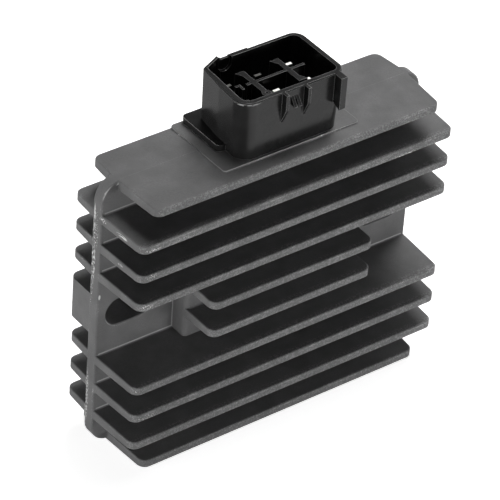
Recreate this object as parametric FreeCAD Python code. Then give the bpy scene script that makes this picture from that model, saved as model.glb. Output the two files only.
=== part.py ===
import FreeCAD, Part
import math
import os

# Voltage regulator rectifier for a motorcycle or quad: a die-cast finned heat sink that holds a
# potted circuit, with a moulded plug socket on top. Millimetres, Z up, long fins towards -Y.
# The origin is under the middle of the bottom plate, so the part stands on Z = 0.
V = FreeCAD.Vector
os.makedirs("parts", exist_ok=True)

# Heat sink: the upright web and its ten levels of fins
web_length = 100.0
web_thickness = 3.5
web_height = 82.83
web_corner_r = 6.0
web_edge = 0.3
fin_levels = 10
fin_tip = 2.3
fin_draft = 0.25
front_reach = 16.4
back_reach = 9.3
front_taper = 0.95
back_taper = 0.5
fin_corner_r = 2.5
fin_edge = 0.25
fin_root_r = 0.8
root_depth = 0.55
end_plate_inset = 4.7
end_plate_front = 15.2
end_plate_back = 8.8
top_plate_draft = 0.5
web_above_plate = 0.03
fin_end_setback = 0.1
fin_in_web = 0.7

# Electronics box: it bulges in front of the web and opens to the back
box_width = 52.0
box_bulge = 5.2
box_wall = 2.4
box_edge_r = 1.2
box_bottom_level = 3
cavity_corner_r = 3.0
short_fin_levels = (4, 5)
short_fin_taper = 0.3

# Mounting ears: a slot through the web and a thick pad behind it at each end
slot_width = 8.1
slot_length = 14.2
slot_to_end = 2.9
pad_height = 12.2
pad_length = 19.8
pad_corner_r = 2.5
pad_inset = 0.2

# Seat and opening for the plug socket in the top plate
seat_length = 42.2
seat_front = 11.0
seat_rise = 0.17
seat_corner_r = 1.0
opening_length = 29.0
opening_depth = 9.0
opening_corner_r = 1.5

# Plug socket, moulded in one piece
shroud_right = 16.4
shroud_left = 16.1
shroud_draft_left = 0.35
shroud_draft_right = 1.0
shroud_front = 10.2
shroud_back = 10.65
shroud_height = 16.9
shroud_wall = 1.5
shroud_left_wall = 1.9
shroud_back_wall = 1.1
shroud_corner_r = 3.4
shroud_left_corner_r = 4.2
shroud_slant = 1.8
shroud_bend = 10.6
shroud_bend_in = 0.55
shroud_inside_slant = 0.9
back_step_at = 0.7
back_step = 0.4
rim_edge = 0.25

# The short slanted wall across the socket's back left corner, which ends beside the keyway
key_wall_end = -8.0
key_wall_proud = 1.3
key_wall_setback = 1.55
key_wall_corner_r = 1.0
key_inside_end = -8.3
key_inside_depth = 1.33
key_inside_setback = 0.95
socket_floor = 3.0
flange_left = 17.8
flange_right = 17.0
flange_front = 3.6
flange_back = 12.3
flange_thickness = 1.9
flange_corner_r = 1.4
neck_clearance = 0.05
neck_drop = 1.2
divider_left = -5.6
divider_right = 5.2
divider_thickness = 1.5
divider_below_rim = 1.6
divider_front = 6.1
divider_back = 4.7
divider_barb = 1.2
divider_barb_length = 2.0
pad_pin_r = 1.25
pad_pin_hole_r = 0.35
pad_pin_hole_depth = 1.0
cross_left = 7.8
cross_right = 10.1
cross_at = -0.6
cross_thickness = 0.8
hook_left = 10.9
hook_right = 9.3
hook_leg = 2.4
hook_thickness = 0.7

# Keyway in the socket's back wall
keyway_centre = -7.0
keyway_width = 4.0
keyway_depth = 0.9
keyway_length = 3.8
keyway_dip = 0.5
keyway_dip_width = 2.6

# Latch and rail on the socket's front
latch_width = 7.7
latch_rib = 0.9
latch_reach = 1.8
latch_straight = 4.6
latch_length = 8.8
tooth_width = 2.3
tooth_groove = 0.55
tooth_below_rim = 1.85
tooth_length = 2.45
tooth_reach = 1.95
rail_right = 14.4
rail_thickness = 1.9
rail_reach = 2.7
rail_length = 9.5
rail_rise = 1.0
rail_root = 0.8

# Blade terminals: tinned brass strip, moulded into the socket's base
blade_width = 2.8
blade_thickness = 0.8
blade_columns = (-9.6, -0.3, 9.3)
blade_row_back = 4.6
blade_row_front = -3.2
blade_below_rim = 4.4
blade_tip_flat = 1.9
blade_tip_length = 0.9
blade_jog_up = 1.4
back_foot_drop = 9.0
back_foot_length = 4.0
front_foot_length = 5.0

# Circuit inside the box
bond_thickness = 0.3
board_thickness = 1.5
board_gap = 1.6
device_width = 10.2
device_length = 9.2
device_height = 4.4
device_pitch = 14.4
device_tab = 1.4
device_tab_thickness = 1.3
thyristor_row = 6.6
diode_row = 20.0
lead_length = 2.6
lead_width = 1.0
lead_thickness = 0.5
lead_pitch = 2.54
chip_width = 9.9
chip_length = 5.4
chip_height = 1.7
small_row = 31.5
capacitor_r = 4.0
capacitor_height = 8.6
capacitor_to_edge = 6.5
resistor_length = 6.4
resistor_width = 3.2
resistor_height = 0.6
resistor_to_edge = 3.5
resistor_pitch = 5.0
potting_below_rim = 1.0

# How far a cut runs past the face that it opens
cut_past = 1.0

# Places worked out from the sizes above
depth = front_reach + web_thickness + back_reach
web_front = front_reach - depth / 2
web_back = web_front + web_thickness
web_middle = (web_front + web_back) / 2
half_length = web_length / 2
box_half = box_width / 2
box_front = web_front - box_bulge
back_face = depth / 2
top_level = fin_levels - 1
top_plate = web_height - web_above_plate - top_plate_draft - fin_tip
fin_pitch = top_plate / top_level
seat_z = web_height + seat_rise
rim_z = seat_z + shroud_height
cavity_low = box_bottom_level * fin_pitch + fin_tip + 2 * fin_draft
cavity_front = box_front + box_wall
cavity_half = box_half - box_wall
slot_z = (short_fin_levels[0] + short_fin_levels[-1]) / 2 * fin_pitch + fin_tip / 2
slot_centre = half_length - slot_to_end - slot_length / 2
board_front = cavity_front + bond_thickness
board_back = board_front + board_thickness
board_half = cavity_half - board_gap
board_low = cavity_low + board_gap
board_high = top_plate - board_gap
floor_z = seat_z + socket_floor
opening_front = board_back - blade_thickness * 1.5


def outline(corners):
    """A closed wire through corners (x, y, radius), each rounded by its own radius."""
    turns = []
    for i, (x, y, radius) in enumerate(corners):
        here = V(x, y, 0)
        after = corners[(i + 1) % len(corners)]
        back = (V(*corners[i - 1][:2], 0) - here).normalize()
        on = (V(*after[:2], 0) - here).normalize()
        half = back.getAngle(on) / 2
        reach = radius / math.tan(half)
        bisector = (back + on).normalize() if radius else V(0, 0, 0)
        middle = here + bisector * (radius / math.sin(half) - radius)
        turns.append((here + back * reach, middle, here + on * reach, radius))
    edges = []
    for i, (start, middle, end, radius) in enumerate(turns):
        if radius:
            edges.append(Part.Arc(start, middle, end).toShape())
        after = turns[(i + 1) % len(turns)][0]
        if (after - end).Length > 1e-6:
            edges.append(Part.makeLine(end, after))
    return Part.Wire(edges)


def slab(corners, z0, z1):
    """A plate with the given plan, from z0 up to z1."""
    face = Part.Face(outline(corners))
    face.translate(V(0, 0, z0))
    return face.extrude(V(0, 0, z1 - z0))


def upright(corners, y0, y1):
    """A plate whose corners are given as (x, z, radius), from y0 back to y1."""
    face = Part.Face(outline(corners))
    face.rotate(V(0, 0, 0), V(1, 0, 0), 90)
    face.translate(V(0, y0, 0))
    return face.extrude(V(0, y1 - y0, 0))


def along_x(points, x0, x1):
    """A bar with the section points (y, z), from x0 to x1."""
    ring = [V(x0, y, z) for y, z in points]
    return Part.Face(Part.makePolygon(ring + ring[:1])).extrude(V(x1 - x0, 0, 0))


def block(x0, x1, y0, y1, z0, z1):
    return Part.makeBox(x1 - x0, y1 - y0, z1 - z0, V(x0, y0, z0))


def rectangle(x0, x1, y0, y1, radius):
    return [(x0, y0, radius), (x1, y0, radius), (x1, y1, radius), (x0, y1, radius)]


def is_upright(edge):
    """True for an edge that runs straight up."""
    bounds = edge.BoundBox
    return bounds.XLength < 1e-4 and bounds.YLength < 1e-4


def lies_at(edge, y):
    """True for an edge in the upright plane at this y."""
    bounds = edge.BoundBox
    return abs(bounds.YMin - y) < 1e-4 and abs(bounds.YMax - y) < 1e-4


def half_fin(low, half, wall, outward, reach, taper, drop, rise):
    """One side of a fin, from inside the web at y = wall out to its rounded tip.

    The lower face drops and the upper face rises towards the web, which is the mould's draft."""
    root = wall - outward * fin_in_web
    tip = wall + outward * reach
    plan = [(-half, root, 0), (half, root, 0),
            (half - taper, tip, fin_corner_r), (taper - half, tip, fin_corner_r)]
    section = [(root, low - drop), (tip, low), (tip, low + fin_tip), (root, low + fin_tip + rise)]
    fin = slab(plan, low - fin_pitch / 2, low + fin_pitch).common(along_x(section, -half, half))
    edges = [e for e in fin.Edges if not is_upright(e) and not lies_at(e, root)]
    return fin.makeChamfer(fin_edge, edges)


def root_fillet(z, up, wall, outward, half):
    """The hollow fillet on a fin's upper or lower face, where it meets a wall at y = wall."""
    on_wall = V(-half, wall, z + up * fin_root_r)
    on_fin = V(-half, wall + outward * fin_root_r, z)
    lean = fin_root_r * (1 - math.sqrt(1 / 2))
    middle = V(-half, wall + outward * lean, z + up * lean)
    inside_wall = V(-half, wall - outward * root_depth, on_wall.z)
    corner = V(-half, wall - outward * root_depth, z - up * root_depth)
    inside_fin = V(-half, on_fin.y, corner.z)
    edges = [Part.Arc(on_wall, middle, on_fin).toShape(), Part.makeLine(on_fin, inside_fin),
             Part.makeLine(inside_fin, corner), Part.makeLine(corner, inside_wall),
             Part.makeLine(inside_wall, on_wall)]
    return Part.Face(Part.Wire(edges)).extrude(V(2 * half, 0, 0))


def make_web():
    """The upright plate with its rounded ears, pierced by a slot at each end."""
    web = upright(rectangle(-half_length, half_length, 0, web_height, web_corner_r), web_front, web_back)
    for hole in slots():
        web = web.cut(hole)
    rims = [e for e in web.Edges if e.BoundBox.YLength < 1e-4]
    return web.makeChamfer(web_edge, rims)


def slots():
    holes = []
    for x in (-slot_centre, slot_centre):
        plan = rectangle(x - slot_length / 2, x + slot_length / 2,
                         slot_z - slot_width / 2, slot_z + slot_width / 2, slot_width / 2)
        holes.append(upright(plan, web_front - cut_past, back_face + cut_past))
    return holes


def make_fins():
    """Eight levels of long fins less the two on the box, and a shorter plate at the top and bottom."""
    pieces = []
    for level in range(fin_levels):
        low = level * fin_pitch
        if level in short_fin_levels:
            continue
        if level in (0, top_level):
            half = half_length - end_plate_inset
            drop = 0 if level == 0 else fin_draft
            rise = top_plate_draft
            front = end_plate_front
            back = end_plate_back
        else:
            half = half_length - fin_end_setback
            drop = fin_draft
            rise = fin_draft
            front = front_reach
            back = back_reach
        pieces.append(half_fin(low, half, web_front, -1, front, front_taper, drop, rise))
        pieces.append(half_fin(low, half, web_back, 1, back, back_taper, drop, rise))
        high = low + fin_tip + rise
        lengths = [(web_front, -1, half - front_taper), (web_back, 1, half - front_taper)]
        if level > box_bottom_level:
            lengths.append((box_front, -1, box_half - box_edge_r))
        for wall, outward, length in lengths:
            if level > 0:
                pieces.append(root_fillet(low - drop / 2, -1, wall, outward, length))
            if level < top_level:
                pieces.append(root_fillet(high - rise / 2, 1, wall, outward, length))
    return pieces


def make_short_fins():
    pieces = []
    tip_y = web_front - front_reach
    for level in short_fin_levels:
        low = level * fin_pitch
        plan = [(-box_half, web_front, 0), (box_half, web_front, 0),
                (box_half - short_fin_taper, tip_y, fin_corner_r),
                (short_fin_taper - box_half, tip_y, fin_corner_r)]
        section = [(web_front, low - fin_draft), (tip_y, low), (tip_y, low + fin_tip),
                   (web_front, low + fin_tip + fin_draft)]
        fin = slab(plan, low - fin_pitch / 2, low + fin_pitch).common(
            along_x(section, -box_half, box_half))
        edges = [e for e in fin.Edges if not is_upright(e) and e.BoundBox.YMin < box_front]
        pieces.append(fin.makeChamfer(fin_edge, edges))
        for z, up in ((low - fin_draft / 2, -1), (low + fin_tip + fin_draft / 2, 1)):
            pieces.append(root_fillet(z, up, box_front, -1, box_half - box_edge_r))
    return pieces


def make_pads():
    """The blocks behind the slots that take the load of the bolts."""
    pads = []
    for side in (-1, 1):
        inner = side * (half_length - pad_length)
        outer = side * (half_length - pad_inset)
        plan = rectangle(min(inner, outer), max(inner, outer), web_middle, back_face, 0)
        plan[2] = plan[2][:2] + (pad_corner_r,)
        plan[3] = plan[3][:2] + (pad_corner_r,)
        pads.append(slab(plan, slot_z - pad_height / 2, slot_z + pad_height / 2))
    return pads


def make_heat_sink():
    shell = rectangle(-box_half, box_half, box_front, back_face, box_edge_r)
    housing = slab(shell, box_bottom_level * fin_pitch + fin_tip / 2, top_plate + fin_tip / 2)
    seat = slab(rectangle(-seat_length / 2, seat_length / 2, web_front - seat_front,
                          web_back + end_plate_back, seat_corner_r),
                top_plate + fin_tip / 2, seat_z)
    body = make_web().multiFuse([housing, seat] + make_pads() + make_fins() + make_short_fins())
    cavity = upright(rectangle(-cavity_half, cavity_half, cavity_low, top_plate, cavity_corner_r),
                     cavity_front, back_face + cut_past)
    opening = slab(rectangle(-opening_length / 2, opening_length / 2, opening_front,
                             opening_front + opening_depth, opening_corner_r),
                   top_plate - cut_past, seat_z + cut_past)
    return body.cut([cavity, opening] + slots()), cavity


def shroud_plan(left, right):
    """The socket's outline: a bent left wall, a slanted wall at the back left and a stepped back."""
    front = web_front - shroud_front
    back = web_front + shroud_back
    return outline([(-left, front, shroud_left_corner_r), (right, front, shroud_corner_r),
                    (right, back, shroud_corner_r), (back_step_at, back, 0),
                    (back_step_at, back + back_step, 0), (key_wall_end, back + back_step, 0),
                    (key_wall_end, back + key_wall_proud, 0),
                    (shroud_slant - left, back - key_wall_setback, key_wall_corner_r),
                    (shroud_bend_in - left, front + shroud_bend, 0)])


def inside_plan(left, right):
    """The room inside the socket; its left wall is thick and its back wall thin."""
    front = web_front - shroud_front + shroud_wall
    back = web_front + shroud_back - shroud_back_wall
    left_front = shroud_left_wall - left
    right_wall = right - shroud_wall
    corner_r = shroud_corner_r - shroud_wall
    return outline([(left_front, front, shroud_left_corner_r - shroud_left_wall),
                    (right_wall, front, corner_r), (right_wall, back, corner_r),
                    (key_inside_end, back, 0), (key_inside_end, back + key_inside_depth, 0),
                    (left_front + shroud_inside_slant, back - key_inside_setback, key_wall_corner_r)])


def make_shroud():
    """A wall all round, open at the top; its ends lean outwards by the mould's draft."""
    base_left = shroud_left - shroud_draft_left
    base_right = shroud_right - shroud_draft_right
    base = shroud_plan(base_left, base_right)
    brow = shroud_plan(shroud_left, shroud_right)
    rim = brow.makeOffset2D(-rim_edge, 2)
    base.translate(V(0, 0, seat_z))
    brow.translate(V(0, 0, rim_z - rim_edge))
    rim.translate(V(0, 0, rim_z))
    inner_base = inside_plan(base_left, base_right)
    inner_rim = inside_plan(shroud_left, shroud_right)
    inner_base.translate(V(0, 0, floor_z))
    inner_rim.translate(V(0, 0, rim_z))
    inside = Part.makeLoft([inner_base, inner_rim], True, True)
    return Part.makeLoft([base, brow, rim], True, True).cut(inside)


def make_dividers():
    """Free-standing walls that keep the terminals apart: two along Y, one across, and a hook."""
    top = rim_z - divider_below_rim
    front = web_front - divider_front
    back = web_front + divider_back
    cross = web_front + cross_at
    half = divider_thickness / 2
    walls = []
    for x in (divider_left, divider_right):
        walls.append(block(x - half, x + half, front, back, floor_z, top))
        walls.append(slab([(x - half - divider_barb, back, 0), (x - half, back - divider_barb_length, 0),
                           (x + half, back, 0)], floor_z, top))
    walls.append(slab([(divider_right + half + divider_barb, front, 0),
                       (divider_right + half, front + divider_barb_length, 0),
                       (divider_right - half, front, 0)], floor_z, top))
    pad = Part.makeCylinder(pad_pin_r, top - floor_z, V(divider_left, front, floor_z))
    walls.append(pad)
    walls.append(block(-cross_left, cross_right, cross - cross_thickness / 2,
                       cross + cross_thickness / 2, floor_z, top))
    hook_back = web_front + hook_thickness / 2
    walls.append(block(-hook_left, -hook_right, hook_back - hook_thickness, hook_back, floor_z, top))
    walls.append(block(-hook_right - hook_thickness, -hook_right, hook_back - hook_leg, hook_back,
                       floor_z, top))
    hole = Part.makeCylinder(pad_pin_hole_r, 2 * pad_pin_hole_depth,
                             V(divider_left, front, top - pad_pin_hole_depth))
    return walls, hole


def make_latch():
    """Two guide ribs, and between them a pair of ramped teeth that the plug's tongue snaps over."""
    wall = web_front - shroud_front
    inside = wall + shroud_wall / 2
    rib = [(inside, rim_z), (wall - latch_reach, rim_z), (wall - latch_reach, rim_z - latch_straight),
           (wall, rim_z - latch_length), (inside, rim_z - latch_length)]
    tooth_top = rim_z - tooth_below_rim
    catch = tooth_top - tooth_length
    tooth = [(inside, tooth_top), (wall, tooth_top), (wall - tooth_reach, catch), (inside, catch)]
    pieces = []
    for side in (-1, 1):
        for section, outer, inner in ((rib, latch_width / 2, latch_width / 2 - latch_rib),
                                      (tooth, tooth_width / 2, tooth_groove / 2)):
            pieces.append(along_x(section, side * inner, side * outer))
    return pieces


def make_rail():
    wall = web_front - shroud_front
    face = wall - rail_reach
    inside = wall + shroud_wall * rail_root
    section = [(inside, rim_z), (face, rim_z), (face, rim_z - rail_length),
               (wall, rim_z - rail_length + rail_rise), (inside, rim_z - rail_length + rail_rise)]
    return along_x(section, rail_right - rail_thickness, rail_right)


def make_keyway():
    """The round-ended groove inside the back wall, and the dip in the rim above it."""
    inside = web_front + shroud_back - shroud_back_wall
    low = rim_z - keyway_length
    plan = [(keyway_centre - keyway_width / 2, low, keyway_width / 2),
            (keyway_centre + keyway_width / 2, low, keyway_width / 2),
            (keyway_centre + keyway_width / 2, rim_z + cut_past, 0),
            (keyway_centre - keyway_width / 2, rim_z + cut_past, 0)]
    groove = upright(plan, inside - cut_past, inside + keyway_depth)
    dip = block(key_wall_end, key_wall_end + keyway_dip_width, inside, back_face,
                rim_z - keyway_dip, rim_z + cut_past)
    return [groove, dip]


def make_plug_socket(blades):
    flange = slab(rectangle(-flange_left, flange_right, web_front - flange_front,
                            web_front + flange_back, flange_corner_r),
                  seat_z, seat_z + flange_thickness)
    inset = neck_clearance
    neck = slab(rectangle(inset - opening_length / 2, opening_length / 2 - inset,
                          opening_front + inset, opening_front + opening_depth - inset,
                          opening_corner_r - inset),
                top_plate - neck_drop, seat_z + socket_floor / 2)
    walls, pin_hole = make_dividers()
    socket = make_shroud().multiFuse([flange, neck, make_rail()] + make_latch() + walls)
    return socket.cut(make_keyway() + [pin_hole] + blades)


def blade_tip(x, y, low):
    """The straight end of a blade inside the socket, with its chamfered tip."""
    top = rim_z - blade_below_rim
    half = blade_width / 2
    flat = blade_tip_flat / 2
    shoulder = top - blade_tip_length
    return upright([(x - half, low, 0), (x + half, low, 0), (x + half, shoulder, 0), (x + flat, top, 0),
                    (x - flat, top, 0), (x - half, shoulder, 0)],
                   y - blade_thickness / 2, y + blade_thickness / 2)


def make_front_blade(x):
    """It steps back inside the socket's base and runs down onto the board."""
    y = web_front + blade_row_front
    half = blade_width / 2
    jog = seat_z + blade_jog_up
    foot = board_back + blade_thickness
    leg = block(x - half, x + half, board_back, foot, board_high - front_foot_length, jog)
    step = block(x - half, x + half, y - blade_thickness / 2, foot, jog - blade_thickness, jog)
    return blade_tip(x, y, jog - blade_thickness).fuse([step, leg])


def make_back_blade(x):
    """It runs straight down behind the board and turns in to a foot on it."""
    y = web_front + blade_row_back
    half = blade_width / 2
    bend = board_high - back_foot_drop
    reach = block(x - half, x + half, board_back, y + blade_thickness / 2, bend,
                  bend + blade_thickness)
    foot = block(x - half, x + half, board_back, board_back + blade_thickness,
                 bend - back_foot_length, bend + blade_thickness)
    return blade_tip(x, y, bend).fuse([reach, foot])


def make_device(x, z, leads):
    """A power package flat on the board: moulded body, metal tab below, leads above."""
    half = device_width / 2
    low = z - device_length / 2
    high = z + device_length / 2
    body = block(x - half, x + half, board_back, board_back + device_height, low, high)
    tab = block(x - half, x + half, board_back, board_back + device_tab_thickness,
                low - device_tab, low)
    pins = [block(x + n * lead_pitch - lead_width / 2, x + n * lead_pitch + lead_width / 2,
                  board_back, board_back + lead_thickness, high, high + lead_length) for n in leads]
    return body.fuse([tab] + pins)


def save(name, shape):
    shape = shape.removeSplitter()
    shape.exportStep("parts/" + name + ".step")
    print(name, len(shape.Solids), shape.isValid(), round(shape.Volume, 1))
    return shape


heat_sink, cavity = make_heat_sink()
save("heat_sink", heat_sink)

blades = [make_back_blade(x) for x in blade_columns] + [make_front_blade(x) for x in blade_columns]
blades = [save("terminal_" + str(i + 1), blade) for i, blade in enumerate(blades)]
plug_socket = save("plug_socket", make_plug_socket(blades))

inner = list(blades)
inner.append(save("bond_layer", block(-board_half, board_half, cavity_front, board_front,
                                      board_low, board_high)))
inner.append(save("circuit_board", block(-board_half, board_half, board_front, board_back,
                                         board_low, board_high)))
for i in range(3):
    x = (i - 1) * device_pitch
    inner.append(save("thyristor_" + str(i + 1), make_device(x, board_low + thyristor_row, (-1, 0, 1))))
    inner.append(save("diode_" + str(i + 1), make_device(x, board_low + diode_row, (-1, 1))))

row = board_low + small_row
inner.append(save("control_chip", block(-chip_width / 2, chip_width / 2, board_back,
                                        board_back + chip_height, row - chip_length / 2,
                                        row + chip_length / 2)))
inner.append(save("capacitor", Part.makeCylinder(capacitor_r, capacitor_height,
                                                 V(board_half - capacitor_to_edge, board_back, row),
                                                 V(0, 1, 0))))
for i in range(2):
    x = resistor_to_edge + i * resistor_pitch - board_half
    inner.append(save("resistor_" + str(i + 1), block(x - resistor_width / 2, x + resistor_width / 2,
                                                      board_back, board_back + resistor_height,
                                                      row - resistor_length / 2,
                                                      row + resistor_length / 2)))

# Black resin poured in from behind, up to just below the box's rim
resin = cavity.common(block(-cavity_half, cavity_half, cavity_front, back_face - potting_below_rim,
                            cavity_low, top_plate))
save("potting", resin.cut(inner + [plug_socket]))
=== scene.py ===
import math

import bpy
from mathutils import Matrix, Vector


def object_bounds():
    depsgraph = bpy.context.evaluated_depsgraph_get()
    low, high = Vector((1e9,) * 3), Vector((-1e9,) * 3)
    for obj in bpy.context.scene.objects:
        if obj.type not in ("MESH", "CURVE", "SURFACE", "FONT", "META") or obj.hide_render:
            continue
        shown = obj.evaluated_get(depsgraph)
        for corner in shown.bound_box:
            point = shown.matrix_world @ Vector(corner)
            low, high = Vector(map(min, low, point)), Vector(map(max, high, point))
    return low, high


# Voltage regulator rectifier: a finned die casting with a potted circuit in its back and a moulded
# plug socket on top. Metres, Z up, the long fins towards -Y.
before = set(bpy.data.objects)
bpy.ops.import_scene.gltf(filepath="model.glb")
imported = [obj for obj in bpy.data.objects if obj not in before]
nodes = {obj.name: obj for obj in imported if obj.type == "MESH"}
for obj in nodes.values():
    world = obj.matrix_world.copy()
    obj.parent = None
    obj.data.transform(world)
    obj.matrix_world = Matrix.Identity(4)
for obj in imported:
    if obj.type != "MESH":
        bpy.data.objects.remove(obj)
cad_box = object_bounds()
mm = 0.001


# Heat sink.
# One aluminium die casting. Its skin is a thin dark grey coat over the grainy cast surface, and
# handling has rubbed it down to bright metal in streaks and specks along the edges.
def place(tree, kind, **settings):
    """Put a shader node in a tree; settings name its properties or, with in_, its inputs."""
    made = tree.nodes.new(kind)
    for name, value in settings.items():
        if name.startswith("in_"):
            made.inputs[name[3:].replace("_", " ")].default_value = value
        else:
            setattr(made, name, value)
    return made


def join(tree, *pairs):
    for source, target in pairs:
        tree.links.new(source, target)


def maths(tree, operation, first, second=0.0, clamp=False):
    """A maths node over two sockets or numbers; gives its output socket."""
    made = place(tree, "ShaderNodeMath", operation=operation, use_clamp=clamp)
    for socket, value in zip(made.inputs, (first, second)):
        if isinstance(value, (int, float)):
            socket.default_value = value
        else:
            tree.links.new(value, socket)
    return made.outputs[0]


def product(tree, *factors):
    result = factors[0]
    for factor in factors[1:]:
        result = maths(tree, "MULTIPLY", result, factor)
    return result


def total(tree, *terms):
    result = terms[0]
    for term in terms[1:]:
        result = maths(tree, "ADD", result, term)
    return result


def opposite(tree, mask):
    return maths(tree, "SUBTRACT", 1.0, mask)


def smooth_step(tree, value, low, high):
    """0 below low, 1 above high, and a soft ramp between them."""
    made = place(tree, "ShaderNodeMapRange", interpolation_type="SMOOTHSTEP")
    made.inputs["From Min"].default_value = low
    made.inputs["From Max"].default_value = high
    tree.links.new(value, made.inputs["Value"])
    return made.outputs["Result"]


def near(tree, value, middle, whole, none):
    """1 where a value lies within whole of the middle, 0 past none, and a soft ramp between."""
    distance = maths(tree, "ABSOLUTE", maths(tree, "SUBTRACT", value, middle))
    return opposite(tree, smooth_step(tree, distance, whole, none))


def split(tree, vector):
    """The X, Y and Z outputs of a vector socket."""
    made = place(tree, "ShaderNodeSeparateXYZ")
    tree.links.new(vector, made.inputs[0])
    return made.outputs


def position(tree):
    """The place on the part, in the part's own frame."""
    return place(tree, "ShaderNodeTexCoord").outputs["Object"]


def direction(tree):
    """The way that the true surface faces."""
    return place(tree, "ShaderNodeNewGeometry").outputs["Normal"]


def new_effect(name, inputs, outputs):
    """An empty shader group with named inputs and outputs, for an effect that materials share."""
    group = bpy.data.node_groups.new(name, "ShaderNodeTree")
    for label, kind, value in inputs:
        socket = group.interface.new_socket(label, in_out="INPUT", socket_type=kind)
        socket.default_value = value
    for label, kind in outputs:
        group.interface.new_socket(label, in_out="OUTPUT", socket_type=kind)
    return group, group.nodes.new("NodeGroupInput"), group.nodes.new("NodeGroupOutput")


def use_effect(tree, group, **values):
    made = place(tree, "ShaderNodeGroup", node_tree=group)
    for name, value in values.items():
        made.inputs[name.replace("_", " ")].default_value = value
    return made


# Grain of a cast or moulded skin: fine pits, and soft blotches some millimetres across
grain, grain_in, grain_out = new_effect(
    "surface grain",
    [("Size", "NodeSocketFloat", 0.35), ("Blotch", "NodeSocketFloat", 6.0)],
    [("Fine", "NodeSocketFloat"), ("Blotches", "NodeSocketFloat")])
grain_at = position(grain)
fine = place(grain, "ShaderNodeTexNoise", in_Detail=3.0, in_Roughness=0.6)
blotches = place(grain, "ShaderNodeTexNoise", in_Detail=2.0, in_Roughness=0.5)
join(grain, (grain_at, fine.inputs["Vector"]), (grain_at, blotches.inputs["Vector"]),
     (maths(grain, "DIVIDE", 1 / mm, grain_in.outputs["Size"]), fine.inputs["Scale"]),
     (maths(grain, "DIVIDE", 1 / mm, grain_in.outputs["Blotch"]), blotches.inputs["Scale"]),
     (fine.outputs[0], grain_out.inputs["Fine"]),
     (blotches.outputs[0], grain_out.inputs["Blotches"]))

# Edges: Edge is 1 on outer edges about Width wide and feeds painted edge highlights; Wear is it broken
# up by noise so that it comes and goes
edge_wear_and_highlight, worn_in, worn_out = new_effect(
    "edge wear and highlight",
    [("Width", "NodeSocketFloat", 0.5), ("Patch", "NodeSocketFloat", 3.0),
     ("Cover", "NodeSocketFloat", 0.5)],
    [("Edge", "NodeSocketFloat"), ("Wear", "NodeSocketFloat"), ("Soft Normal", "NodeSocketVector")])
rounded = place(edge_wear_and_highlight, "ShaderNodeBevel", samples=8)
turned = place(edge_wear_and_highlight, "ShaderNodeVectorMath", operation="DOT_PRODUCT")
patches = place(edge_wear_and_highlight, "ShaderNodeTexNoise", in_Detail=4.0, in_Roughness=0.65)
join(edge_wear_and_highlight, (product(edge_wear_and_highlight, worn_in.outputs["Width"], mm), rounded.inputs["Radius"]),
     (rounded.outputs[0], turned.inputs[0]), (direction(edge_wear_and_highlight), turned.inputs[1]),
     (position(edge_wear_and_highlight), patches.inputs["Vector"]),
     (maths(edge_wear_and_highlight, "DIVIDE", 1 / mm, worn_in.outputs["Patch"]), patches.inputs["Scale"]))
edge = smooth_step(edge_wear_and_highlight, opposite(edge_wear_and_highlight, turned.outputs["Value"]), 0.03, 0.16)
broken = smooth_step(edge_wear_and_highlight, total(edge_wear_and_highlight, patches.outputs[0], worn_in.outputs["Cover"]), 1.02, 1.12)
join(edge_wear_and_highlight, (edge, worn_out.inputs["Edge"]), (rounded.outputs[0], worn_out.inputs["Soft Normal"]),
     (product(edge_wear_and_highlight, edge, broken), worn_out.inputs["Wear"]))

# An oval of broken scratches at one place, for rubbed metal and for painted glints; its centre and half
# sizes in metres
rub_and_glint_patch, rubbed_in, rubbed_out = new_effect(
    "rub and glint patch",
    [("Centre", "NodeSocketVector", (0, 0, 0)), ("Half Size", "NodeSocketVector", (1, 1, 1)),
     ("Streak", "NodeSocketVector", (2000, 2000, 2000)), ("Cover", "NodeSocketFloat", 0.5)],
    [("Mask", "NodeSocketFloat")])
rubbed_at = position(rub_and_glint_patch)
offset = place(rub_and_glint_patch, "ShaderNodeVectorMath", operation="SUBTRACT")
scaled = place(rub_and_glint_patch, "ShaderNodeVectorMath", operation="DIVIDE")
reach = place(rub_and_glint_patch, "ShaderNodeVectorMath", operation="LENGTH")
streaks = place(rub_and_glint_patch, "ShaderNodeVectorMath", operation="MULTIPLY")
scratches = place(rub_and_glint_patch, "ShaderNodeTexNoise", in_Detail=2.0, in_Scale=1.0)
join(rub_and_glint_patch, (rubbed_at, offset.inputs[0]), (rubbed_in.outputs["Centre"], offset.inputs[1]),
     (offset.outputs[0], scaled.inputs[0]), (rubbed_in.outputs["Half Size"], scaled.inputs[1]),
     (scaled.outputs[0], reach.inputs[0]),
     (rubbed_at, streaks.inputs[0]), (rubbed_in.outputs["Streak"], streaks.inputs[1]),
     (streaks.outputs[0], scratches.inputs["Vector"]))
inside = opposite(rub_and_glint_patch, smooth_step(rub_and_glint_patch, reach.outputs["Value"], 0.5, 1.0))
ragged = smooth_step(rub_and_glint_patch, total(rub_and_glint_patch, scratches.outputs[0], rubbed_in.outputs["Cover"]), 1.0, 1.12)
join(rub_and_glint_patch, (product(rub_and_glint_patch, inside, ragged), rubbed_out.inputs["Mask"]))


def new_material(name, slot_colour, **settings):
    """A Principled material; settings are constants on the shader's own sockets."""
    made = bpy.data.materials.new(name)
    made.use_nodes = True
    made.diffuse_color = (*slot_colour, 1)
    shader = made.node_tree.nodes["Principled BSDF"]
    shader.inputs["Base Color"].default_value = (*slot_colour, 1)
    for label, value in settings.items():
        shader.inputs[label.replace("_", " ")].default_value = value
    return made, made.node_tree, shader


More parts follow.
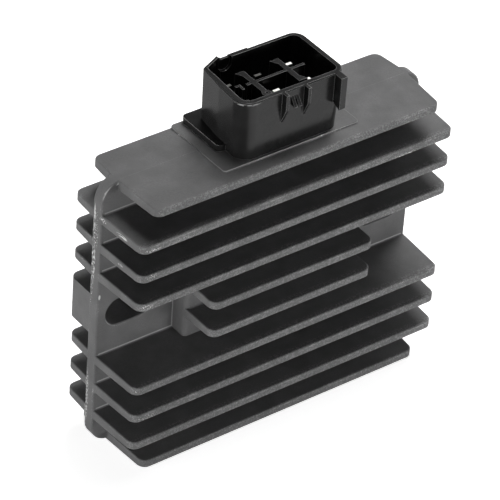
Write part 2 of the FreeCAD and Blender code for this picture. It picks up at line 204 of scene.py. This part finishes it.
def tint(tree, mask, low, high):
    """A colour that goes from low to high with a mask; sockets 6, 7 and 2 are Mix's for colours."""
    made = place(tree, "ShaderNodeMix", data_type="RGBA", clamp_factor=True)
    for socket, value in ((made.inputs[6], low), (made.inputs[7], high)):
        if isinstance(value, tuple):
            socket.default_value = (*value, 1)
        else:
            tree.links.new(value, socket)
    tree.links.new(mask, made.inputs[0])
    return made.outputs[2]


def relief(tree, height, depth, shader, normal=None):
    made = place(tree, "ShaderNodeBump", in_Distance=depth)
    tree.links.new(height, made.inputs["Height"])
    if normal:
        tree.links.new(normal, made.inputs["Normal"])
    tree.links.new(made.outputs[0], shader.inputs["Normal"])


def finish_node(name, material):
    nodes[name].data.materials.clear()
    nodes[name].data.materials.append(material)


coat_grey = (0.165, 0.165, 0.166)
coat_dark = (0.14, 0.14, 0.141)
coat_light = (0.195, 0.195, 0.196)
edge_highlight_and_grit_grey = (0.28, 0.28, 0.28)
painted_highlight_grey = (0.42, 0.42, 0.42)
bare_metal = (0.86, 0.86, 0.85)
fin_reach = -cad_box[0][1]
web_front = 1.8 * mm
web_middle = 3.5 * mm
box_side = 26.15 * mm
plate_top = 82.8 * mm

cast, tree, shader = new_material("dark coated casting", coat_grey, Specular_IOR_Level=0.2)
skin = use_effect(tree, grain, Size=0.45, Blotch=7.0)
edges = use_effect(tree, edge_wear_and_highlight, Width=0.5, Patch=1.2)
specks = use_effect(tree, edge_wear_and_highlight, Width=1.6, Patch=0.4)
at = split(tree, position(tree))
facing = split(tree, direction(tree))
# The fins' front edges are rubbed more than the rest
tips = smooth_step(tree, product(tree, at["Y"], -1.0), fin_reach - 2.4 * mm, fin_reach - 1.2 * mm)
uneven = product(tree, maths(tree, "SUBTRACT", skin.outputs["Blotches"], 0.5), 0.5)
join(tree, (total(tree, uneven, 0.43, product(tree, tips, 0.07)), specks.inputs["Cover"]),
     (total(tree, uneven, 0.40), edges.inputs["Cover"]))
# Painted highlight in the roots, where fins and box meet the web's front
near_web = near(tree, at["Y"], web_front - 0.3 * mm, 0.4 * mm, 0.6 * mm)
hollow = product(tree, smooth_step(tree, facing["Z"], 0.1, 0.3),
                 opposite(tree, smooth_step(tree, facing["Z"], 0.45, 0.65)))
upright_root_highlight = product(tree, near(tree, maths(tree, "ABSOLUTE", at["X"]), box_side, 0.15 * mm, 0.3 * mm),
                       smooth_step(tree, product(tree, facing["Y"], -1.0), 0.8, 0.95))
# Painted highlight along the seat's low rim too
seat_rim_highlight = product(tree, smooth_step(tree, at["Z"], plate_top - 0.1 * mm, plate_top),
                   opposite(tree, smooth_step(tree, facing["Z"], 0.5, 0.8)))
# The web's top edge lies level with the top plate, so neither wear nor painted edge highlight goes there
level_web = product(tree, smooth_step(tree, at["Z"], plate_top - 0.5 * mm, plate_top - 0.2 * mm),
                    near(tree, at["Y"], web_middle, 2.2 * mm, 2.6 * mm))
wear_and_highlights = opposite(tree, level_web)
root_highlight = product(tree, wear_and_highlights, near_web, maths(tree, "MAXIMUM", hollow, upright_root_highlight))
# Where it is rubbed bright: centre and half size in millimetres, streaks per metre, cover
rubs = [
    ((-50.0, 4.5, 72.0), (0.8, 0.4, 4.6), (2500, 2500, 700), 0.6),
    ((-50.0, 3.9, 71.0), (0.8, 1.4, 4.5), (3000, 3000, 1800), 0.42),
    ((-50.0, 3.9, 66.5), (0.8, 1.5, 4.5), (3000, 3000, 1500), 0.47),
    ((-50.0, 4.3, 57.5), (0.8, 1.0, 8.0), (3000, 3000, 900), 0.52),
    ((-50.0, 4.7, 48.5), (0.8, 0.8, 5.0), (3000, 3000, 1500), 0.45),
    ((-50.0, 4.8, 14.5), (0.8, 1.0, 10.5), (3000, 3000, 1300), 0.54),
    ((-50.0, 2.6, 3.2), (0.8, 2.2, 1.0), (3000, 1200, 3000), 0.55),
    ((-49.6, -6.8, 72.35), (0.5, 3.0, 0.7), (1500, 700, 3500), 0.58),
    ((-49.6, -7.6, 72.2), (0.5, 1.6, 0.4), (1500, 500, 2500), 0.68),
    ((-50.0, 1.0, 72.6), (0.8, 1.8, 0.8), (2500, 2500, 2500), 0.5),
    ((-49.4, -6.35, 63.5), (0.6, 1.2, 0.4), (1500, 900, 3500), 0.58),
    ((-46.0, -14.6, 72.0), (3.2, 0.5, 0.6), (2200, 900, 2800), 0.5),
    ((-36.0, -14.6, 72.0), (6.0, 0.5, 0.7), (2500, 900, 3000), 0.42),
    ((-45.8, -14.6, 64.0), (2.0, 0.5, 1.6), (2800, 900, 2800), 0.46),
    ((-48.6, -13.4, 65.2), (0.9, 1.4, 0.5), (2800, 2800, 2800), 0.5),
    ((-46.6, -14.2, 54.6), (2.6, 1.0, 1.1), (3200, 3200, 3200), 0.5),
    ((-47.0, -14.0, 28.0), (2.2, 1.2, 1.2), (2600, 2600, 2600), 0.42),
    ((-44.5, -14.6, 18.6), (4.0, 0.6, 1.0), (2600, 2600, 2600), 0.47),
    ((-43.3, -14.0, 81.5), (0.5, 0.5, 0.6), (1500, 1500, 1500), 0.72),
    ((-37.0, -14.4, 82.3), (3.0, 0.5, 0.5), (2200, 1500, 2500), 0.47),
    ((-49.4, 1.8, 48.0), (0.4, 0.6, 1.0), (1500, 1500, 700), 0.72),
    ((-49.2, 0.6, 47.6), (0.6, 2.2, 1.2), (3000, 3000, 3000), 0.42),
    ((33.0, -14.6, 71.2), (4.5, 0.5, 0.8), (2200, 900, 3200), 0.5),
    ((18.0, -14.6, 72.0), (16.0, 0.5, 1.1), (2600, 900, 3200), 0.40),
    ((-49.1, 1.8, 80.4), (0.9, 0.4, 0.9), (2500, 2500, 2500), 0.5),
    ((-45.6, 1.8, 81.8), (0.5, 0.4, 0.5), (1500, 1500, 1500), 0.62),
    ((9.2, -9.3, 83.0), (0.5, 0.3, 0.3), (1500, 1500, 1500), 0.6),
]
worn_through = product(tree, edges.outputs["Wear"], wear_and_highlights)
speckled = product(tree, specks.outputs["Wear"], total(tree, product(tree, tips, 0.15), 0.3))
bright = product(tree, maths(tree, "MAXIMUM", worn_through, speckled), opposite(tree, root_highlight))
for centre, half, streak, cover in rubs:
    patch = use_effect(tree, rub_and_glint_patch, Centre=Vector(centre) * mm, Half_Size=Vector(half) * mm,
                       Streak=streak, Cover=cover)
    bright = maths(tree, "MAXIMUM", bright, patch.outputs["Mask"])
# The coat, from its clouds and grain to its gritty tips, painted highlights on edges and in roots, and
# rubbed metal
mottled = tint(tree, smooth_step(tree, skin.outputs["Blotches"], 0.35, 0.65), coat_dark, coat_light)
grained = tint(tree, smooth_step(tree, skin.outputs["Fine"], 0.3, 0.7), coat_grey, mottled)
grit = product(tree, tips, smooth_step(tree, skin.outputs["Fine"], 0.45, 0.65))
gritty = tint(tree, grit, grained, edge_highlight_and_grit_grey)
# Painted highlight: the edges are tinted paler
lit_edges = tint(tree, product(tree, edges.outputs["Edge"], 0.55, wear_and_highlights), gritty, edge_highlight_and_grit_grey)
highlighted = tint(tree, maths(tree, "MAXIMUM", root_highlight, seat_rim_highlight), lit_edges, painted_highlight_grey)
join(tree, (tint(tree, bright, highlighted, bare_metal), shader.inputs["Base Color"]),
     (product(tree, bright, 0.6), shader.inputs["Metallic"]),
     (maths(tree, "SUBTRACT", 0.55, product(tree, bright, 0.2)), shader.inputs["Roughness"]))
# Shading stays level over the web's top edge; sockets 4, 5 and 1 are Mix's for vectors
upright = place(tree, "ShaderNodeMix", data_type="VECTOR")
upright.inputs[5].default_value = (0, 0, 1)
join(tree, (level_web, upright.inputs[0]), (edges.outputs["Soft Normal"], upright.inputs[4]))
relief(tree, skin.outputs["Fine"], 0.05 * mm, shader, upright.outputs[1])
finish_node("heat_sink", cast)


# Plug socket.
# Moulded in one piece in black glass-filled plastic, with a fine satin skin and slightly
# rounded edges; its neck goes down through the top plate into the resin.
plastic_black = (0.014, 0.014, 0.014)
plastic_cloud = (0.02, 0.02, 0.02)
plastic_edge_highlight = (0.32, 0.32, 0.32)
plastic_glint_grey = (0.7, 0.7, 0.7)
flange_top = 84.9 * mm
flange_left = -17.3 * mm

plastic, tree, shader = new_material("black socket plastic", plastic_black, Specular_IOR_Level=0.35)
skin = use_effect(tree, grain, Size=0.2, Blotch=5.0)
edges = use_effect(tree, edge_wear_and_highlight, Width=0.25, Patch=2.0, Cover=0.5)
at = split(tree, position(tree))
facing = split(tree, direction(tree))
# Painted highlights along the outer edges, but none where the walls rise from the flange
foot = product(tree, smooth_step(tree, at["X"], flange_left - 0.1 * mm, flange_left + 0.1 * mm),
               near(tree, at["Z"], flange_top, 0.3 * mm, 0.45 * mm))
edge_highlights = maths(tree, "MULTIPLY", edges.outputs["Edge"], maths(tree, "SUBTRACT", 0.8, foot),
                   clamp=True)
# Painted glints at the rim's front left and along the flange's left end
corner = use_effect(tree, rub_and_glint_patch, Centre=Vector((-13.6, -6.9, 99.4)) * mm,
                    Half_Size=Vector((4.0, 4.0, 0.35)) * mm, Streak=(900, 900, 2500), Cover=0.62)
outward = opposite(tree, smooth_step(tree, facing["Z"], 0.85, 0.95))
flange_edge_glint = product(
    tree, edge_highlights,
    opposite(tree, smooth_step(tree, at["Z"], flange_top + 0.3 * mm, flange_top + 0.5 * mm)),
    opposite(tree, smooth_step(tree, at["X"], flange_left + 0.8 * mm, flange_left + 1.8 * mm)))
painted_glints = maths(tree, "MAXIMUM", flange_edge_glint, product(tree, corner.outputs["Mask"], outward, 0.5))
cloud = smooth_step(tree, skin.outputs["Blotches"], 0.3, 0.7)
edged = tint(tree, edge_highlights, tint(tree, cloud, plastic_black, plastic_cloud), plastic_edge_highlight)
join(tree, (tint(tree, painted_glints, edged, plastic_glint_grey), shader.inputs["Base Color"]),
     (total(tree, product(tree, skin.outputs["Blotches"], 0.1), 0.15), shader.inputs["Roughness"]))
relief(tree, skin.outputs["Fine"], 0.01 * mm, shader, edges.outputs["Soft Normal"])
finish_node("plug_socket", plastic)


# Blade terminals.
# Stamped from brass strip and tin plated, with chamfered tips; the socket is moulded round them.
# Painted glints brighten the flat tips and painted shade darkens the sides; three blades get darker
# copies, painted shade for blades that catch less light.
def tin_material(name, side_shade_colour, tip_glint_colour, roughness):
    made, tree, shader = new_material(name, tip_glint_colour, Metallic=1.0)
    skin = use_effect(tree, grain, Size=0.3, Blotch=1.5)
    facing = split(tree, direction(tree))
    # Painted glint on the upward flat tips, painted shade on the sides
    tip_glint = maths(tree, "MULTIPLY", smooth_step(tree, facing["Z"], 0.85, 0.97),
                total(tree, skin.outputs["Blotches"], 0.5), clamp=True)
    join(tree, (tint(tree, tip_glint, side_shade_colour, tip_glint_colour), shader.inputs["Base Color"]),
         (total(tree, product(tree, skin.outputs["Fine"], 0.2), roughness), shader.inputs["Roughness"]))
    relief(tree, skin.outputs["Fine"], 0.01 * mm, shader)
    return made


# The dull and the blackened copies are painted shade
glinting_tin = tin_material("tin plate with painted glints", (0.25, 0.25, 0.24), (0.85, 0.84, 0.81), 0.42)
shaded_tin = tin_material("tin plate in painted shade", (0.04, 0.04, 0.038), (0.11, 0.11, 0.105), 0.45)
deep_shaded_tin = tin_material("tin plate in deep painted shade", (0.015, 0.015, 0.015), (0.03, 0.03, 0.03), 0.5)
shaded_blades = {"terminal_1": shaded_tin, "terminal_2": shaded_tin, "terminal_4": deep_shaded_tin}
for name in nodes:
    if name.startswith("terminal_"):
        finish_node(name, shaded_blades.get(name, glinting_tin))


# Potting.
# Black two-part resin, poured into the box from behind and left to level; it dries glossy with
# faint waves and a few pin holes.
resin_black = (0.022, 0.022, 0.023)
resin_pale = (0.035, 0.035, 0.036)
wave_scale = 90.0

resin, tree, shader = new_material("poured black resin", resin_black)
skin = use_effect(tree, grain, Size=0.8, Blotch=9.0)
pits = place(tree, "ShaderNodeTexVoronoi", feature="F1", in_Scale=wave_scale)
waves = place(tree, "ShaderNodeTexNoise", in_Detail=0.0, in_Scale=wave_scale)
resin_at = position(tree)
join(tree, (resin_at, pits.inputs["Vector"]), (resin_at, waves.inputs["Vector"]))
pin_holes = opposite(tree, smooth_step(tree, pits.outputs["Distance"], 0.02, 0.035))
join(tree, (tint(tree, skin.outputs["Blotches"], resin_black, resin_pale), shader.inputs["Base Color"]),
     (total(tree, product(tree, skin.outputs["Blotches"], 0.25), 0.15), shader.inputs["Roughness"]))
relief(tree, maths(tree, "SUBTRACT", waves.outputs[0], pin_holes), 0.2 * mm, shader)
finish_node("potting", resin)


# Circuit inside the resin.
# A metal-backed board glued to the box's front wall carries the power packages, the control chip,
# a capacitor and two resistors. The resin hides all of it.
def inner_material(name, colour, other, roughness, metallic, grain_size):
    made, tree, shader = new_material(name, colour, Metallic=metallic)
    skin = use_effect(tree, grain, Size=grain_size, Blotch=4.0)
    join(tree, (tint(tree, skin.outputs["Blotches"], colour, other), shader.inputs["Base Color"]),
         (total(tree, product(tree, skin.outputs["Fine"], 0.15), roughness), shader.inputs["Roughness"]))
    relief(tree, skin.outputs["Fine"], 0.01 * mm, shader)
    return made


adhesive = inner_material("grey adhesive", (0.55, 0.55, 0.53), (0.65, 0.65, 0.63), 0.6, 0.0, 0.4)
lacquer = inner_material("green lacquer", (0.03, 0.14, 0.06), (0.04, 0.18, 0.08), 0.3, 0.0, 0.5)
package = inner_material("package moulding", (0.03, 0.03, 0.03), (0.045, 0.045, 0.045), 0.5, 0.0, 0.2)
can = inner_material("capacitor can", (0.75, 0.75, 0.75), (0.82, 0.82, 0.82), 0.25, 1.0, 0.3)
inner_finish = {"bond_layer": adhesive, "circuit_board": lacquer, "capacitor": can}
for name in nodes:
    if name in inner_finish or name.startswith(("thyristor", "diode", "control", "resistor")):
        finish_node(name, inner_finish.get(name, package))


# Studio.
# A white sweep without a visible edge. The camera sees plain white; reflections see white round
# the horizon, a dim ceiling, and paper that is dim close to the part. It keeps the part's shadow.
fill_light = 0.035
ceiling_dimming = 0.85

world = bpy.data.worlds.new("studio")
bpy.context.scene.world = world
world.use_nodes = True
sky = world.node_tree
sky.nodes.clear()
shown = place(sky, "ShaderNodeBackground", in_Color=(1, 1, 1, 1))
fill = place(sky, "ShaderNodeBackground", in_Color=(1, 1, 1, 1), in_Strength=fill_light)
rays = place(sky, "ShaderNodeLightPath")
pick = place(sky, "ShaderNodeMixShader")
sky_out = place(sky, "ShaderNodeOutputWorld")
way = split(sky, place(sky, "ShaderNodeTexCoord").outputs["Generated"])
ceiling = smooth_step(sky, way["Z"], 0.25, 0.5)
mirrored = opposite(sky, product(sky, ceiling, ceiling_dimming))
white_rays = maths(sky, "MAXIMUM", rays.outputs["Is Camera Ray"], maths(
    sky, "MAXIMUM", rays.outputs["Is Glossy Ray"], rays.outputs["Is Transmission Ray"]))
join(sky, (maths(sky, "MAXIMUM", mirrored, rays.outputs["Is Camera Ray"]), shown.inputs["Strength"]),
     (white_rays, pick.inputs[0]), (fill.outputs[0], pick.inputs[1]),
     (shown.outputs[0], pick.inputs[2]), (pick.outputs[0], sky_out.inputs[0]))

# The paper, just under the part. It is seen by its own light and the lamps', and mirrored by its
# own light alone; from below it isn't there, so that the underside can be looked at
floor_half = 1.5
floor_gap = 0.1 * mm
paper_white = (0.8, 0.8, 0.8, 1)
light_near, light_far = 0.86, 1.0
mirrored_near, mirrored_right, mirrored_left = 0.12, 0.88, 0.45

corners = [(x * floor_half, y * floor_half, 0) for x, y in ((-1, -1), (1, -1), (1, 1), (-1, 1))]
floor_mesh = bpy.data.meshes.new("floor")
floor_mesh.from_pydata(corners, [], [(0, 1, 2, 3)])
floor = bpy.data.objects.new("floor", floor_mesh)
bpy.context.collection.objects.link(floor)
floor.location.z = -floor_gap
paper = bpy.data.materials.new("white paper")
paper.use_nodes = True
sheet = paper.node_tree
sheet.nodes.clear()
matt = place(sheet, "ShaderNodeBsdfDiffuse", in_Color=paper_white)
lit = place(sheet, "ShaderNodeEmission", in_Color=(1, 1, 1, 1))
through = place(sheet, "ShaderNodeBsdfTransparent")
both = place(sheet, "ShaderNodeAddShader")
seen = place(sheet, "ShaderNodeLightPath")
below = place(sheet, "ShaderNodeNewGeometry")
for_camera = place(sheet, "ShaderNodeMixShader")
for_gloss = place(sheet, "ShaderNodeMixShader")
from_below = place(sheet, "ShaderNodeMixShader")
paper_out = place(sheet, "ShaderNodeOutputMaterial")
paper_at = position(sheet)
away = place(sheet, "ShaderNodeVectorMath", operation="LENGTH")
join(sheet, (paper_at, away.inputs[0]))
along = split(sheet, paper_at)
side = maths(sheet, "SUBTRACT", along["X"], along["Y"])
right_side = product(sheet, smooth_step(sheet, side, 0.03, 0.13), mirrored_right)
left_side = product(sheet, smooth_step(sheet, product(sheet, side, -1.0), 0.06, 0.16), mirrored_left)
mirrored_glow = total(sheet, right_side, left_side, mirrored_near)
sweep = total(sheet, product(sheet, smooth_step(sheet, away.outputs["Value"], 0.12, 0.4),
                             light_far - light_near), light_near)
glow = total(sheet, product(sheet, seen.outputs["Is Camera Ray"], sweep),
             product(sheet, seen.outputs["Is Glossy Ray"], mirrored_glow))
join(sheet, (glow, lit.inputs["Strength"]),
     (matt.outputs[0], both.inputs[0]), (lit.outputs[0], both.inputs[1]),
     (seen.outputs["Is Camera Ray"], for_camera.inputs[0]),
     (matt.outputs[0], for_camera.inputs[1]), (both.outputs[0], for_camera.inputs[2]),
     (seen.outputs["Is Glossy Ray"], for_gloss.inputs[0]),
     (for_camera.outputs[0], for_gloss.inputs[1]), (lit.outputs[0], for_gloss.inputs[2]),
     (below.outputs["Backfacing"], from_below.inputs[0]),
     (for_gloss.outputs[0], from_below.inputs[1]), (through.outputs[0], from_below.inputs[2]),
     (from_below.outputs[0], paper_out.inputs[0]))
floor_mesh.materials.append(paper)


def lamp(name, at, width, height, power):
    """A soft box at a point, turned towards the part's middle."""
    data = bpy.data.lights.new(name, "AREA")
    data.shape = "RECTANGLE"
    data.size = width
    data.size_y = height
    data.energy = power
    made = bpy.data.objects.new(name, data)
    bpy.context.collection.objects.link(made)
    made.location = at
    made.rotation_euler = (Vector((0, 0, 0.05)) - Vector(at)).to_track_quat("-Z", "Y").to_euler()


# Soft boxes: one high above, long low ones in front and to the left, and a weak one to the right
lamp("lamp above", (0.25, 0.15, 0.7), 0.26, 0.6, 4.0)
lamp("lamp in front", (0.15, -0.9, 0.05), 0.9, 0.25, 5.5)
lamp("lamp left", (-0.9, 0.1, 0.05), 0.6, 0.16, 5.6)
lamp("lamp right", (0.8, 0.35, 0.2), 0.5, 0.5, 1.0)

# Camera, at the photograph's angle: turned 39 degrees to the left, 37 degrees up, rolled 4 degrees.
# It stands off from a point on the web's left end, beside a fin, which lies left of the picture's middle
turn = math.radians(-38.968)
lift = math.radians(36.885)
roll = math.radians(4.386)
distance = 0.913356
shift_right = 0.036805
shift_down = 0.006356
web_end = Vector((cad_box[0][0], web_front, 71.2 * mm))

camera_data = bpy.data.cameras.new("camera")
camera_data.sensor_width = 36.0
camera_data.lens = 266.5
camera_data.clip_start = 0.05
camera_data.clip_end = 10.0
camera = bpy.data.objects.new("camera", camera_data)
bpy.context.collection.objects.link(camera)
back = Vector((math.sin(turn) * math.cos(lift), -math.cos(turn) * math.cos(lift), math.sin(lift)))
level = Vector((0, 0, 1)).cross(back).normalized()
upward = back.cross(level)
right = level * math.cos(roll) + upward * math.sin(roll)
top = upward * math.cos(roll) - level * math.sin(roll)
stand = web_end + right * shift_right - top * shift_down + back * distance
axes = Matrix((right, top, back)).transposed().to_4x4()
camera.matrix_world = Matrix.Translation(stand) @ axes
bpy.context.scene.camera = camera

bpy.context.scene.view_settings.view_transform = "Standard"
